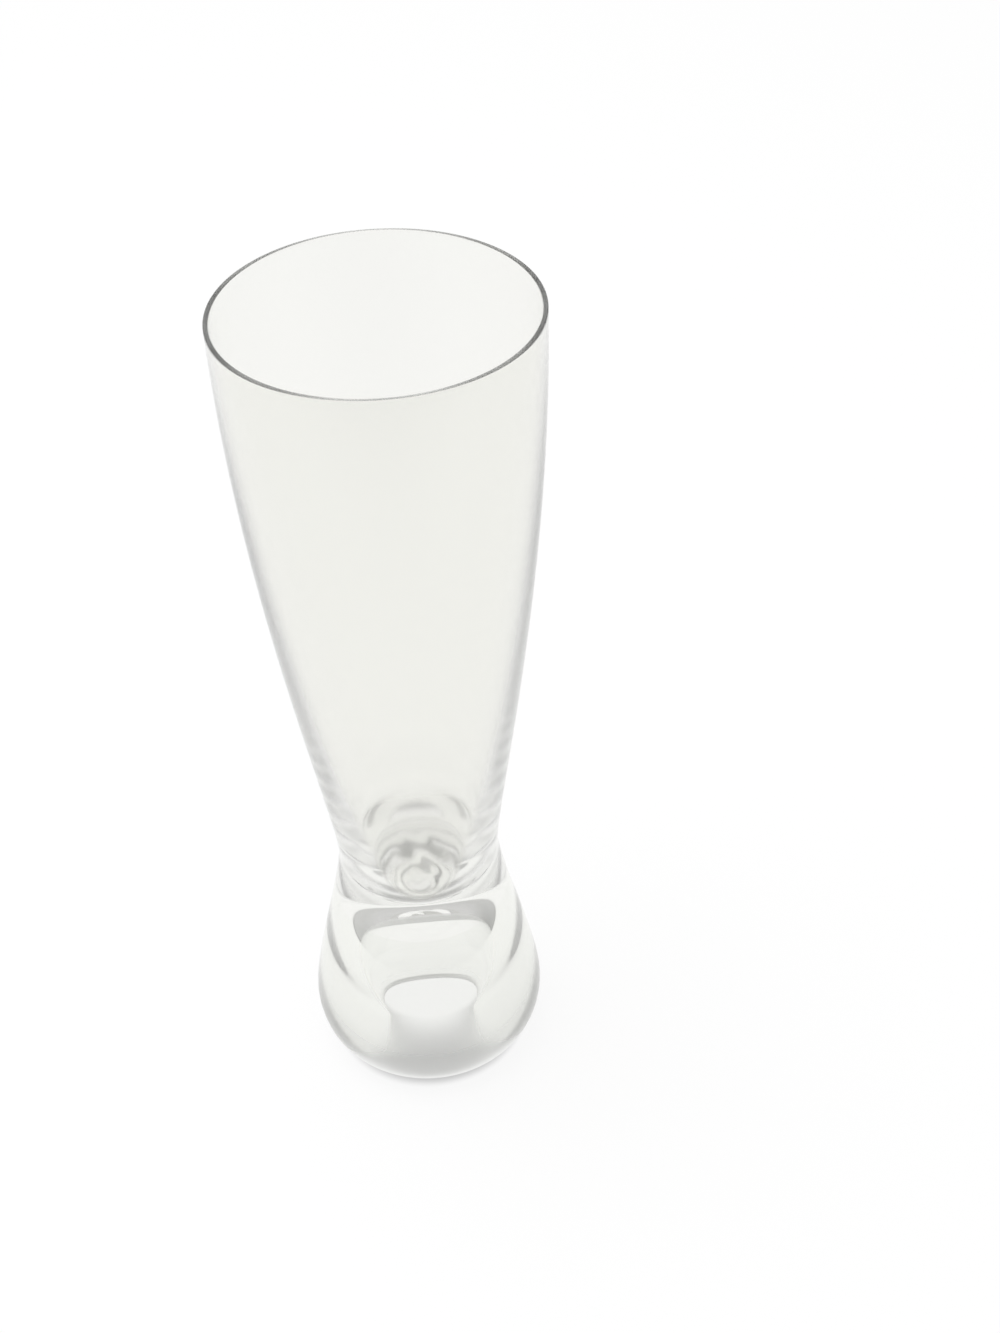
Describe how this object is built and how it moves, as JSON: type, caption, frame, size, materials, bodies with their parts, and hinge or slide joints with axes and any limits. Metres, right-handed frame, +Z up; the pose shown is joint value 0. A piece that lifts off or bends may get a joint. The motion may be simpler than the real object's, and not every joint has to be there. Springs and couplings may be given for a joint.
{
  "type": "pilsner glass",
  "caption": "Tall clear pilsner glass: a thin tapered bowl flaring from a pinched waist on a heavy bulging foot that is hollow underneath and stands on a ring, for serving beer.",
  "frame": {"origin": "centre of the ring that the glass stands on", "axes": "+Z up along the axis of the glass, through the open mouth; round about Z, so X and Y are free"},
  "size_m": [0.0724, 0.0724, 0.222],
  "materials": {
    "clear_glass": "clear, colourless, fire-polished"
  },
  "bodies": {
    "root": {"bowl": "clear_glass", "foot": "clear_glass"}
  },
  "joints": []
}
